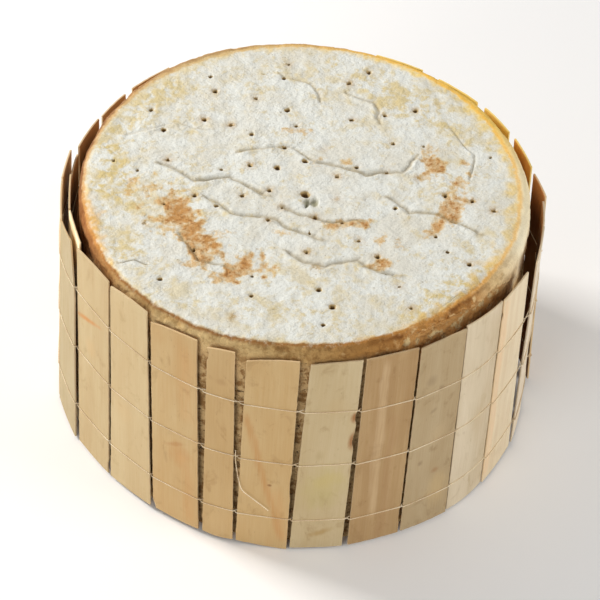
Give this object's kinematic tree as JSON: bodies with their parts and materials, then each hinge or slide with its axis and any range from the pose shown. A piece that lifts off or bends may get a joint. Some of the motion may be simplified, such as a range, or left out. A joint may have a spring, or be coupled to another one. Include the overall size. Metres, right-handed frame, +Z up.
{
  "type": "cheese wheel in a wooden slat mat",
  "caption": "Round blue cheese wheel with a pierced, mould-ripened chalky rind, wrapped in a twined mat of thin upright wooden slats.",
  "frame": {"origin": "centre of the cheese's flat base, on the plane it rests on", "axes": "+Z up through the wheel's two flat faces; -Y is the front of the mat, +X its right; the mat's overlap is at -X"},
  "size_m": [0.3108, 0.2962, 0.173],
  "materials": {
    "rind": null,
    "slat_wood": "raw thin veneer, pale honey to grey tan, matte with fine straight grain",
    "binding_thread": "fine undyed two-ply thread, matte"
  },
  "bodies": {
    "root": {"cheese": "rind", "slat_01": "slat_wood", "slat_02": "slat_wood", "slat_03": "slat_wood", "slat_04": "slat_wood", "slat_05": "slat_wood", "slat_06": "slat_wood", "slat_07": "slat_wood", "slat_08": "slat_wood", "slat_09": "slat_wood", "slat_10": "slat_wood", "slat_11": "slat_wood", "slat_12": "slat_wood", "slat_13": "slat_wood", "slat_14": "slat_wood", "slat_15": "slat_wood", "slat_16": "slat_wood", "slat_17": "slat_wood", "slat_18": "slat_wood", "slat_19": "slat_wood", "slat_20": "slat_wood", "slat_21": "slat_wood", "slat_22": "slat_wood", "slat_23": "slat_wood", "slat_24": "slat_wood", "slat_25": "slat_wood", "slat_26": "slat_wood", "slat_27": "slat_wood", "slat_28": "slat_wood", "slat_29": "slat_wood", "slat_30": "slat_wood", "thread_1_a": "binding_thread", "thread_1_b": "binding_thread", "thread_2_a": "binding_thread", "thread_2_b": "binding_thread", "thread_3_a": "binding_thread", "thread_3_b": "binding_thread", "thread_tail": "binding_thread"}
  },
  "joints": []
}
